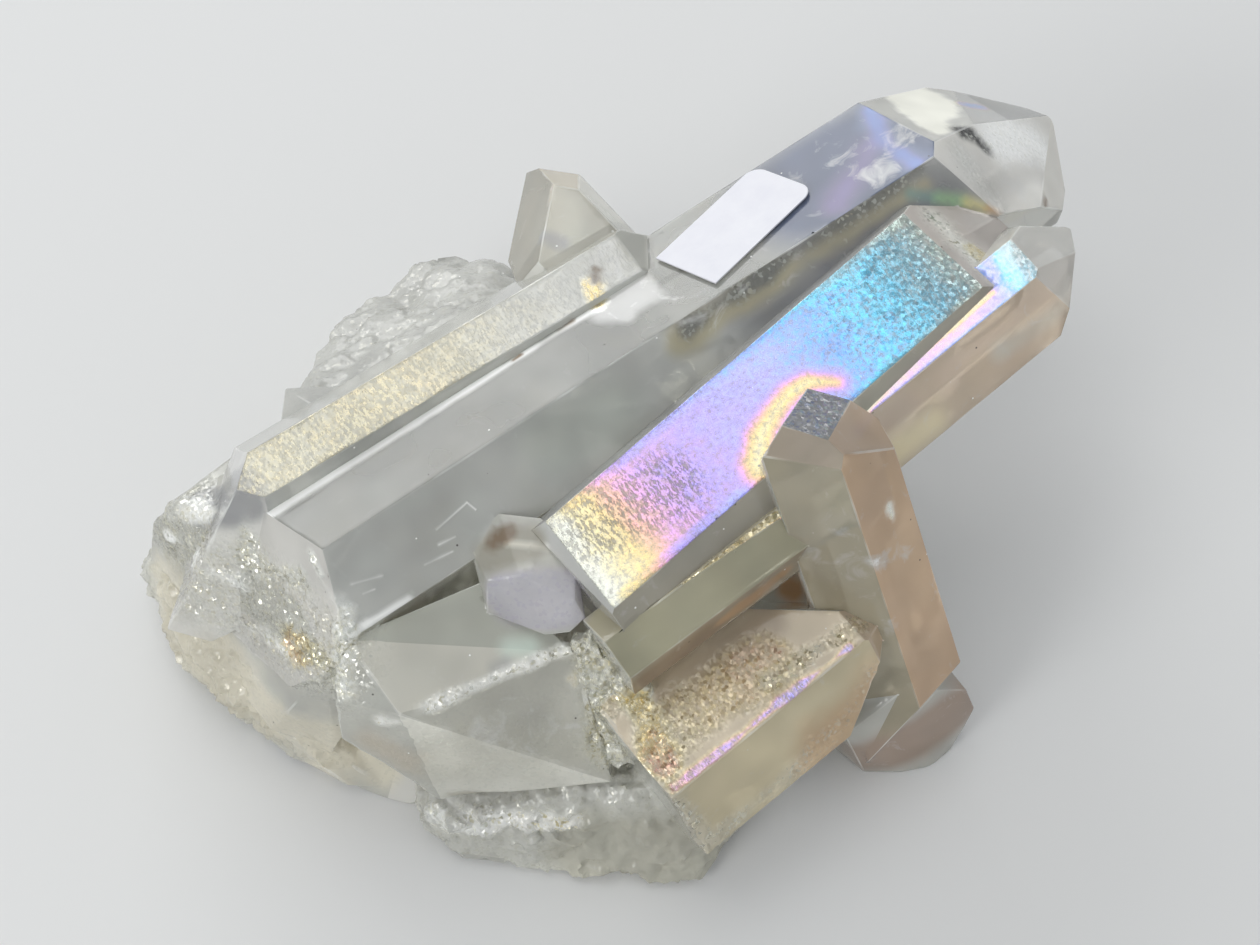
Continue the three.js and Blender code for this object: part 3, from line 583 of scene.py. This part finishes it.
def netFace(mesh, face, step, layers):
    # replaces a flat face with an even net of triangles, to carry relief and colour
    normal = face.normal.copy()
    corners = list(face.verts)
    start = corners[0].co.copy()
    across = max((e.calc_length(), e.index, e) for e in face.edges)[2]
    across = (across.verts[1].co - across.verts[0].co).normalized()
    along = normal.cross(across)

    def toFlat(place):
        return Vector((place.dot(across), place.dot(along))) / mm

    flat = [toFlat(v.co - start) for v in corners]
    step = step / mm
    rim = np.array(flat)
    low, high = rim.min(axis=0), rim.max(axis=0)
    inner, tests = fineRows(rim, toFlat, normal, start) if step < refine["plainStep"] / mm else ([], [])
    rowHigh, (rowTurn, columnTurn) = refine["rowHigh"], refine["shakeTurn"]
    for row in range(int((high[1] - low[1]) / (step * rowHigh)) + 1):
        for column in range(int((high[0] - low[0]) / step) + 2):
            seed = Vector((row * rowTurn, column * columnTurn, start.x * 1000))
            shake = noise.noise_vector(seed) * refine["shake"] * step
            x = low[0] + (column + 0.5 * (row % 2)) * step + shake.x
            y = low[1] + (row + 0.5) * step * rowHigh + shake.y
            onRow = any(-gap < (np.array((x, y)) - first) @ run < length + gap
                        and abs((np.array((x, y)) - first) @ side) < half + gap
                        for first, run, side, length, half, gap in tests)
            rimGap = ((rim[:, 0] - x) ** 2 + (rim[:, 1] - y) ** 2).min()
            if not onRow and rimGap > (refine["offRim"] * step) ** 2:
                inner.append(Vector((x, y)))
    insideOnly, tolerance = 1, 1e-6
    places, _, nets, sources, _, _ = geometry.delaunay_2d_cdt(
        flat + inner, [], [list(range(len(flat)))], insideOnly, tolerance)
    values = [face[layer] for layer in layers]
    made = {}
    for number in sorted({i for net in nets for i in net}):
        known = [i for i in sources[number] if i < len(flat)]
        place = places[number]
        made[number] = corners[known[0]] if known else mesh.verts.new(
            start + (across * place.x + along * place.y) * mm)
    mesh.faces.remove(face)
    for net in nets:
        new = mesh.faces.new([made[i] for i in net])
        for layer, value in zip(layers, values):
            new[layer] = value


def refineMesh(piece):
    mesh = bmesh.new()
    mesh.from_mesh(piece.data)
    mesh.edges.index_update()
    grit, facet = mesh.faces.layers.int["grit"], mesh.faces.layers.int["facet"]
    towardsPhoto = viewAxes(studio)[2]
    steps = {}
    for face in mesh.faces:
        fine = face.normal.dot(towardsPhoto) > refine["facing"]
        steps[face] = refine["roughStep"] if face[grit] else refine["fineStep" if fine else "plainStep"]
    splitEdges(mesh, steps)
    mesh.edges.index_update()
    for face, step in steps.items():
        netFace(mesh, face, step, [grit, facet])
    mesh.to_mesh(piece.data)
    print("net of", len(mesh.faces), "faces,", sum(not e.is_manifold for e in mesh.edges), "open edges")
    mesh.free()


# How the broken parts are roughened, in millimetres: the size and height of their flat tilted chips,
# of their round grains and of their lumps. roundings has from how much rounding on, and how many passes
broken = {
    "skirt": {"chip": 1.9, "chipHigh": 0.34, "grain": 1.5, "grainHigh": 0.5, "lump": 3.5, "lumpHigh": 0.6},
    "fan": {"chip": 3.0, "chipHigh": 0.30, "grain": 1.6, "grainHigh": 0.10, "lump": 6.0, "lumpHigh": 0.8},
    "ledge": {"chip": 1.8, "chipHigh": 0.36, "grain": 1.4, "grainHigh": 0.3, "lump": 4.0, "lumpHigh": 0.7},
    "skirtEnd": -43, "fanStart": 16, "base": 0.05, "wave": 0.03, "waveSize": 5, "chipSize": 1.7,
    "grainSteep": 1.6, "chipTurn": 7.3, "chipTilt": 2.5, "chipStep": 0.8, "finerChip": 2.3, "cloud": 6,
    "finerShare": 0.5, "cloudNoise": (1.0, 2.0, 3), "lumpNoise": (1.0, 2.1, 3),
    "grainRounds": 0.4, "smoothing": 0.5, "roundings": ((0.25, 2), (0.7, 6)),
}


def zoneOf(place):
    if place.x < broken["skirtEnd"]:
        return broken["skirt"]
    return broken["fan" if place.y > broken["fanStart"] else "ledge"]


def grainHeight(place, size):
    # 1 at the middle of a round grain of this size, falling to 0 at its rim
    near = noise.voronoi(place / size, distance_metric="DISTANCE")[0]
    return min(1.0, (near[1] - near[0]) * broken["grainSteep"])


def chipHeight(place, size):
    # about -1 to 1: each chip has a flat top, tilted its own way
    middle = noise.voronoi(place / size, distance_metric="DISTANCE")[1][0]
    tilt = noise.noise_vector(middle * broken["chipTurn"])
    slope = tilt.dot(place / size - middle) * broken["chipTilt"]
    return max(-1, min(1, slope + tilt.x * broken["chipStep"]))


def readAll(items, key, kind=np.int32, width=1):
    # one value of every vertex, corner or face, or a row of them
    values = np.empty(len(items) * width, kind)
    items.foreach_get(key, values)
    return values if width == 1 else values.reshape(-1, width)


def cornerValues(mesh, name):
    # a face value, once for each corner of the face
    return np.repeat(readAll(mesh.attributes[name].data, "value"), readAll(mesh.polygons, "loop_total"))


def vertexValues(mesh, name):
    # the value that all the faces round a vertex share, or -1
    count = len(mesh.vertices)
    low, high = np.full(count, len(mesh.polygons)), np.full(count, -1)
    vertOf, values = readAll(mesh.loops, "vertex_index"), cornerValues(mesh, name)
    np.minimum.at(low, vertOf, values)
    np.maximum.at(high, vertOf, values)
    return np.where(low == high, low, -1)


def vertexPlaces(mesh):
    return readAll(mesh.vertices, "co", float, 3) / mm


def cloudAt(places):
    size, settings = broken["cloud"], broken["cloudNoise"]
    return np.array([noise.fractal(Vector(place) / size, *settings) for place in places])


def roundOff(piece):
    # rounds the corners between the broken faces
    mesh = piece.data
    places, facet, grit = vertexPlaces(mesh), vertexValues(mesh, "facet"), vertexValues(mesh, "grit")
    cloud, rounds = cloudAt(places), np.where(grit == 1, broken["grainRounds"], 0.0)
    for stroke in strokes.values():
        if "rounds" in stroke:
            rounds = np.maximum(rounds, strokeAmount(stroke, places, cloud, facet)[0] * stroke["rounds"])
    for least, passes in broken["roundings"]:
        chosen = (rounds > least) & (places[:, 2] > broken["base"])
        activate(piece)
        bpy.ops.object.mode_set(mode="EDIT")
        bpy.context.tool_settings.mesh_select_mode = (True, False, False)
        bpy.ops.mesh.select_all(action="DESELECT")
        bpy.ops.object.mode_set(mode="OBJECT")
        mesh.vertices.foreach_set("select", chosen)
        bpy.ops.object.mode_set(mode="EDIT")
        bpy.ops.mesh.vertices_smooth(factor=broken["smoothing"], repeat=passes)
        bpy.ops.object.mode_set(mode="OBJECT")
    print("broken corners rounded")


def roughen(piece):
    # gives the broken faces chips, grains and lumps, and the clean ones a slight wave
    mesh = piece.data
    places, facet, grit = vertexPlaces(mesh), vertexValues(mesh, "facet"), vertexValues(mesh, "grit")
    cloud = cloudAt(places)
    normals = readAll(mesh.vertex_normals, "vector", float, 3)
    lift, chips = np.zeros(len(places)), np.zeros(len(places))
    for stroke in strokes.values():
        if "chips" in stroke or "lift" in stroke:
            amount = strokeAmount(stroke, places, cloud, facet)[0]
            lift += amount * stroke.get("lift", 0)
            chips = np.maximum(chips, amount * stroke.get("chips", 0))
    for i, place in enumerate(places):
        place = Vector(place)
        if place.z < broken["base"]:
            lift[i] = 0
            continue
        if chips[i] > 0:
            size = broken["chipSize"]
            finer = broken["finerShare"] * chipHeight(place, size / broken["finerChip"])
            lift[i] += chips[i] * (chipHeight(place, size) + finer)
        if grit[i] == 1:
            zone = zoneOf(place)
            lift[i] += noise.fractal(place / zone["lump"], *broken["lumpNoise"]) * zone["lumpHigh"]
            lift[i] += (grainHeight(place, zone["grain"]) - 0.5) * zone["grainHigh"]
            lift[i] += chipHeight(place, zone["chip"]) * zone["chipHigh"]
        elif facet[i] >= 0:
            lift[i] += noise.noise(place / broken["waveSize"]) * broken["wave"]
    places += normals * lift[:, None]
    places[:, 2] = np.maximum(places[:, 2], 0)
    mesh.vertices.foreach_set("co", (places * mm).ravel())
    mesh.update()
    print("broken faces roughened")


def strokeAmount(stroke, places, cloud, facet):
    # how much of a stroke each place takes, and where along it each place lies
    far, t = np.full(len(places), np.inf), np.zeros(len(places))
    for start, end, first, last in legsOf(stroke):
        run = end - start
        part = np.clip((places - start) @ run / max(run @ run, 1e-6), 0, 1)
        away = np.linalg.norm(places - start - part[:, None] * run, axis=1)
        t = np.where(away < far, first + (last - first) * part, t)
        far = np.minimum(far, away)
    far += cloud * stroke["ragged"]
    soft, wide = stroke["soft"], alongStroke(stroke["wide"], t)
    amount = 1 - smoothStep(wide - soft / 2, wide + soft / 2, far)
    if "on" in stroke:
        amount *= np.isin(facet, [facetNames.index(name) for name in stroke["on"].split()])
    return amount, t


# What the strokes lie on: the clean faces, the grainy broken ones, the thin coat at the back of the
# cluster and the rims between faces, chipped white with a painted highlight. chipFlakes is how strongly
# chips glint
ground = {
    "clean": {"film": 0.0, "shine": 0.0, "milk": 0.45, "worn": 0.0, "veil": 0.1, "flake": 0.0},
    "grainy": {"film": 0.05, "milk": 0.65, "flake": 0.25},
    "behind": {"film": 0.45, "waver": 0.5, "shine": 0.16},
    "rim": {"least": 0.12, "patchy": 0.7, "most": 0.6, "milk": 0.85},
    "chipFlakes": 3,
}


def paintQuartz(piece):
    # writes the corner attributes that the material reads
    mesh = piece.data
    vertOf = readAll(mesh.loops, "vertex_index")
    grit, facet, edge = (cornerValues(mesh, name) for name in ("grit", "facet", "edge"))
    places = vertexPlaces(mesh)
    cloud, places = cloudAt(places)[vertOf], places[vertOf]

    tone = np.tile(np.array(tones["plain"]), (len(places), 1))
    tone[grit == 1] = tones["broken"]
    layers = {name: np.full(len(places), value) for name, value in ground["clean"].items()}
    for name, value in ground["grainy"].items():
        layers[name][grit == 1] = value
    away = readAll(mesh.polygons, "normal", float, 3) @ np.array(viewAxes(studio)[2]) < 0
    behind, coat = np.repeat(away, readAll(mesh.polygons, "loop_total")) & (grit == 0), ground["behind"]
    layers["film"][behind] = (coat["film"] + coat["waver"] * cloud)[behind]
    layers["shine"][behind] = coat["shine"]
    for number, (_, colour, milky) in enumerate(facets.values()):
        tone[facet == number], layers["milk"][facet == number] = colour, milky
    for stroke in strokes.values():
        amount, t = strokeAmount(stroke, places, cloud, facet)
        amount *= stroke["much"]
        for name, layer in layers.items():
            if name in stroke:
                layer += (alongStroke(stroke[name], t) - layer) * amount
        layers["film"] += stroke.get("thicker", 0) * amount
        glints = amount * min(1, ground["chipFlakes"] * stroke.get("chips", 0))
        layers["flake"] = np.maximum(layers["flake"], glints)
        if "tone" in stroke:
            tone += (np.array(tones[stroke["tone"]]) - tone) * amount[:, None]
    # the bevelled rims are whitened: partly chipped quartz, partly a painted highlight
    rim = ground["rim"]
    amount = edge * np.clip(rim["least"] + rim["patchy"] * cloud, 0, rim["most"])
    tone += (np.array(tones["white"]) - tone) * amount[:, None]
    layers["milk"] += (rim["milk"] - layers["milk"]) * amount

    paint = mesh.color_attributes.new("tone", "FLOAT_COLOR", "CORNER")
    paint.data.foreach_set("color", np.column_stack((tone, np.ones(len(tone)))).ravel())
    for name, layer in layers.items():
        mesh.attributes.new(name, "FLOAT", "CORNER").data.foreach_set("value", layer)
    print("colour and coat painted")


def addNode(tree, kind, links=(), **settings):
    # a node with its settings, and its inputs by name: a number, a colour or another node's output
    node = tree.nodes.new("ShaderNode" + kind)
    for name, value in settings.items():
        setattr(node, name, value)
    for name, value in dict(links).items():
        if isinstance(value, bpy.types.NodeSocket):
            tree.links.new(value, node.inputs[name])
        else:
            node.inputs[name].default_value = value
    return node


def newMaterial(name):
    # a material, its nodes, its shader and the places that its patterns read
    material = bpy.data.materials.new(name)
    material.use_nodes = True
    tree = material.node_tree
    return material, tree, tree.nodes["Principled BSDF"], addNode(tree, "TexCoord").outputs["Object"]


def readLayer(tree, name, output="Fac"):
    return addNode(tree, "Attribute", attribute_name=name).outputs[output]


def maths(tree, operation, *values):
    return addNode(tree, "Math", dict(enumerate(values)), operation=operation).outputs[0]


def product(tree, first, second):
    return maths(tree, "MULTIPLY", first, second)


def vectorMaths(tree, operation, *values):
    return addNode(tree, "VectorMath", dict(enumerate(values)), operation=operation).outputs[0]


def remap(tree, value, low, high, newLow=0.0, newHigh=1.0):
    return addNode(tree, "MapRange", {"Value": value, "From Min": low, "From Max": high,
                                      "To Min": newLow, "To Max": newHigh}).outputs[0]


def mixColours(tree, amount, first, second):
    # the mix node has a socket of each kind: 6 and 7 are the two colours, 2 the mixed colour
    return addNode(tree, "Mix", {0: amount, 6: first, 7: second}, data_type="RGBA").outputs[2]


def grainNoise(tree, place, scale, detail=3, roughness=0.6, distortion=0.0):
    values = {"Vector": place, "Scale": scale, "Detail": detail, "Roughness": roughness,
              "Distortion": distortion}
    return addNode(tree, "TexNoise", values).outputs["Fac"]


def cells(tree, place, scale):
    # the outputs of cells of this scale, and a number drawn for each cell
    outputs = addNode(tree, "TexVoronoi", {"Vector": place, "Scale": scale}).outputs
    return outputs, addNode(tree, "SeparateColor", {"Color": outputs["Color"]}).outputs["Red"]


# The quartz's finish. Single scales are grains a metre, noises are scale, detail and roughness, and
# ranges run from low to high, with the values that they become
finish = {
    "fine": (1700, 3, 0.65), "mottle": 420, "waver": 0.16,
    "scratches": (1, 3, 0.7), "scratchTurn": math.radians(35), "scratchScale": (3400, 1100, 1500),
    "bare": (0.50, 0.60), "patchy": (0.30, 0.62, 0.45, 1.0),
    "flake": 2600, "flakeTilt": 0.9, "sparkling": 0.8, "sparks": (0.80, 0.84),
    "specks": 330, "speckSize": 0.05, "speckRim": 0.6, "whiteShare": 0.65,
    "whiteSpeck": (0.98, 0.98, 0.96, 1), "darkSpeck": (0.05, 0.04, 0.04, 1),
    "wisps": (330, 5, 0.62, 0.9), "wispVeil": 0.42, "wispStart": -0.70, "wispRange": (-0.04, 0.34),
    "wispColour": (0.96, 0.96, 0.94, 1), "wispMilk": 0.85,
    "clouds": (75, 2), "cloudRange": (0.36, 0.66, 0.92, 1.08),
    "ior": 1.544, "clearRough": 0.05, "coatRough": 0.17, "milkRough": 0.12, "gritRough": 0.10,
    "absorbColour": (0.74, 0.73, 0.66, 1), "absorbDensity": 20, "metal": 0.85,
    "coatRelief": 0.9, "bodyRelief": 0.10, "scratchDepth": -0.8, "bump": 0.4, "bumpHigh": 0.1 * mm,
}


def makeQuartz(f):
    skin, tree, shader, place = newMaterial("coatedQuartz")
    fine = grainNoise(tree, place, *f["fine"])
    mottle = grainNoise(tree, place, f["mottle"])
    tone = readLayer(tree, "tone", "Color")
    grit, film, shine, milk, worn, veil, flake = (
        readLayer(tree, name) for name in ("grit", "film", "shine", "milk", "worn", "veil", "flake"))

    # the coat's colour follows its thickness, which wavers a little
    thickness = film
    for grains in (mottle, fine):
        centred = maths(tree, "ADD", thickness, -f["waver"] / 2)
        thickness = maths(tree, "MULTIPLY_ADD", grains, f["waver"], centred)
    ramp = addNode(tree, "ValToRGB", {"Fac": thickness})
    stops = ramp.color_ramp.elements
    while len(stops) < len(filmColours):
        stops.new(0.5)
    for stop, (position, colour) in zip(stops, filmColours):
        stop.position, stop.color = position, (*colour, 1)

    # and it is patchy: grains stand bare, more of them where it is worn
    turned = addNode(tree, "Mapping", {"Vector": place, "Rotation": (0, 0, f["scratchTurn"]),
                                       "Scale": f["scratchScale"]}).outputs[0]
    bare = remap(tree, grainNoise(tree, turned, *f["scratches"]), *f["bare"])
    scratched = product(tree, bare, worn)
    coat = product(tree, shine, remap(tree, fine, *f["patchy"]))
    coat = product(tree, coat, maths(tree, "SUBTRACT", 1.0, scratched))

    # the flakes of a broken face are tilted each its own way, and some of them keep their coat
    flakes, chance = cells(tree, place, f["flake"])
    sparks = product(tree, remap(tree, chance, *f["sparks"]), product(tree, flake, f["sparkling"]))
    coat = maths(tree, "MAXIMUM", coat, sparks)
    lean = vectorMaths(tree, "SUBTRACT", flakes["Color"], (0.5, 0.5, 0.5))
    tilt = addNode(tree, "VectorMath", {0: lean, "Scale": product(tree, flake, f["flakeTilt"])},
                   operation="SCALE").outputs[0]

    # a few white and dark specks lie anywhere
    spots, drawn = cells(tree, place, f["specks"])
    specks = remap(tree, spots["Distance"], f["speckSize"] * f["speckRim"], f["speckSize"], 1, 0)
    isWhite = maths(tree, "LESS_THAN", drawn, f["whiteShare"])

    # soft white wisps inside, where there are veils
    wisps = maths(tree, "ADD", grainNoise(tree, place, *f["wisps"]),
                  maths(tree, "MULTIPLY_ADD", veil, f["wispVeil"], f["wispStart"]))
    wisps = remap(tree, wisps, *f["wispRange"])
    cloudy = remap(tree, grainNoise(tree, place, *f["clouds"]), *f["cloudRange"])
    body = mixColours(tree, wisps, vectorMaths(tree, "MULTIPLY", tone, cloudy), f["wispColour"])
    body = mixColours(tree, specks, body, mixColours(tree, isWhite, f["darkSpeck"], f["whiteSpeck"]))
    tree.links.new(mixColours(tree, coat, body, ramp.outputs["Color"]), shader.inputs["Base Color"])
    tree.links.new(product(tree, coat, f["metal"]), shader.inputs["Metallic"])
    cloud = maths(tree, "MAXIMUM", product(tree, milk, cloudy), product(tree, wisps, f["wispMilk"]))
    cloud = maths(tree, "MAXIMUM", cloud, specks)
    tree.links.new(remap(tree, cloud, 0, 1, 1, 0), shader.inputs["Transmission Weight"])
    rough = f["clearRough"]
    for amount, share in ((coat, "coatRough"), (milk, "milkRough"), (grit, "gritRough")):
        rough = maths(tree, "MULTIPLY_ADD", amount, f[share], rough)
    tree.links.new(rough, shader.inputs["Roughness"])
    shader.inputs["IOR"].default_value = f["ior"]

    height = product(tree, fine, maths(tree, "MULTIPLY_ADD", shine, f["coatRelief"], f["bodyRelief"]))
    height = maths(tree, "MULTIPLY_ADD", scratched, f["scratchDepth"], height)
    bump = addNode(tree, "Bump", {"Height": height, "Strength": f["bump"], "Distance": f["bumpHigh"]})
    leant = vectorMaths(tree, "ADD", bump.outputs["Normal"], tilt)
    tree.links.new(vectorMaths(tree, "NORMALIZE", leant), shader.inputs["Normal"])
    volume = addNode(tree, "VolumeAbsorption", {"Color": f["absorbColour"], "Density": f["absorbDensity"]})
    tree.links.new(volume.outputs["Volume"], tree.nodes["Material Output"].inputs["Volume"])
    return skin


# The sticker and its paper: the scales are fibres and stains a metre
sticker = {
    "rim": 0.04 * mm, "paper": (0.82, 0.82, 0.86, 1), "shade": (0.74, 0.74, 0.80, 1),
    "fibre": (900, 6000, 3000), "fibres": (1, 4), "stains": (220, 4), "stainRange": (0.35, 0.7),
    "fibreShare": 0.6, "rough": 0.42, "fibreRough": 0.2, "bump": 0.25, "bumpHigh": 0.05 * mm,
}


def makePaper(f):
    paper, tree, shader, place = newMaterial("stickerPaper")
    drawn = addNode(tree, "Mapping", {"Vector": place, "Scale": f["fibre"]}).outputs[0]
    fibres = grainNoise(tree, drawn, *f["fibres"])
    stains = remap(tree, grainNoise(tree, place, *f["stains"]), *f["stainRange"])
    share = f["fibreShare"]
    amount = product(tree, stains, maths(tree, "MULTIPLY_ADD", fibres, share, 1 - share))
    tree.links.new(mixColours(tree, amount, f["paper"], f["shade"]), shader.inputs["Base Color"])
    rough = maths(tree, "MULTIPLY_ADD", fibres, f["fibreRough"], f["rough"])
    tree.links.new(rough, shader.inputs["Roughness"])
    bump = addNode(tree, "Bump", {"Height": fibres, "Strength": f["bump"], "Distance": f["bumpHigh"]})
    tree.links.new(bump.outputs["Normal"], shader.inputs["Normal"])
    return paper


def openWelded(piece):
    # joins the copy's loose triangles into whole flat faces, and leaves it open in edit mode
    bpy.ops.object.mode_set(mode="EDIT")
    bpy.ops.mesh.select_all(action="SELECT")
    bpy.ops.mesh.remove_doubles(threshold=refine["mergeWithin"])
    bpy.ops.mesh.dissolve_limited(angle_limit=refine["flatWithin"])
    return bmesh.from_edit_mesh(piece.data)


quartz = copyOfNode("quartz_cluster", "quartzCluster")
editMesh = openWelded(quartz)
markFaces(editMesh)
markEdges(editMesh)
bpy.ops.object.mode_set(mode="OBJECT")
refineMesh(quartz)
activate(quartz)
bpy.ops.object.mode_set(mode="EDIT")
editMesh = bmesh.from_edit_mesh(quartz.data)
crisp = editMesh.edges.layers.int["crisp"]
selectOnly(editMesh, "EDGE", [e for e in editMesh.edges if e[crisp]])
bpy.ops.mesh.bevel(offset=refine["bevel"], segments=2, affect="EDGES", clamp_overlap=False)
editMesh = bmesh.from_edit_mesh(quartz.data)
edgeLayer = editMesh.faces.layers.int["edge"]
for strip in [f for f in editMesh.faces if f.select]:
    strip[edgeLayer] = 1
bpy.ops.object.mode_set(mode="OBJECT")
print("edges bevelled,", len(quartz.data.polygons), "faces")
roundOff(quartz)
roughen(quartz)
activate(quartz)
bpy.ops.object.shade_smooth_by_angle(angle=refine["sharpFrom"])
paintQuartz(quartz)
quartz.data.materials.append(makeQuartz(finish))
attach(quartz, "root")
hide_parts("quartz_cluster")

label = copyOfNode("paper_label", "paperLabel")
editMesh = openWelded(label)
selectOnly(editMesh, "EDGE", [e for e in editMesh.edges if e.calc_face_angle(0) > refine["bevelFrom"]])
bpy.ops.mesh.bevel(offset=sticker["rim"], segments=2, affect="EDGES")
bpy.ops.object.mode_set(mode="OBJECT")
bpy.ops.object.shade_smooth_by_angle(angle=refine["sharpFrom"])
label.data.materials.append(makePaper(sticker))
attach(label, "root")
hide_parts("paper_label")
print("sticker ready")
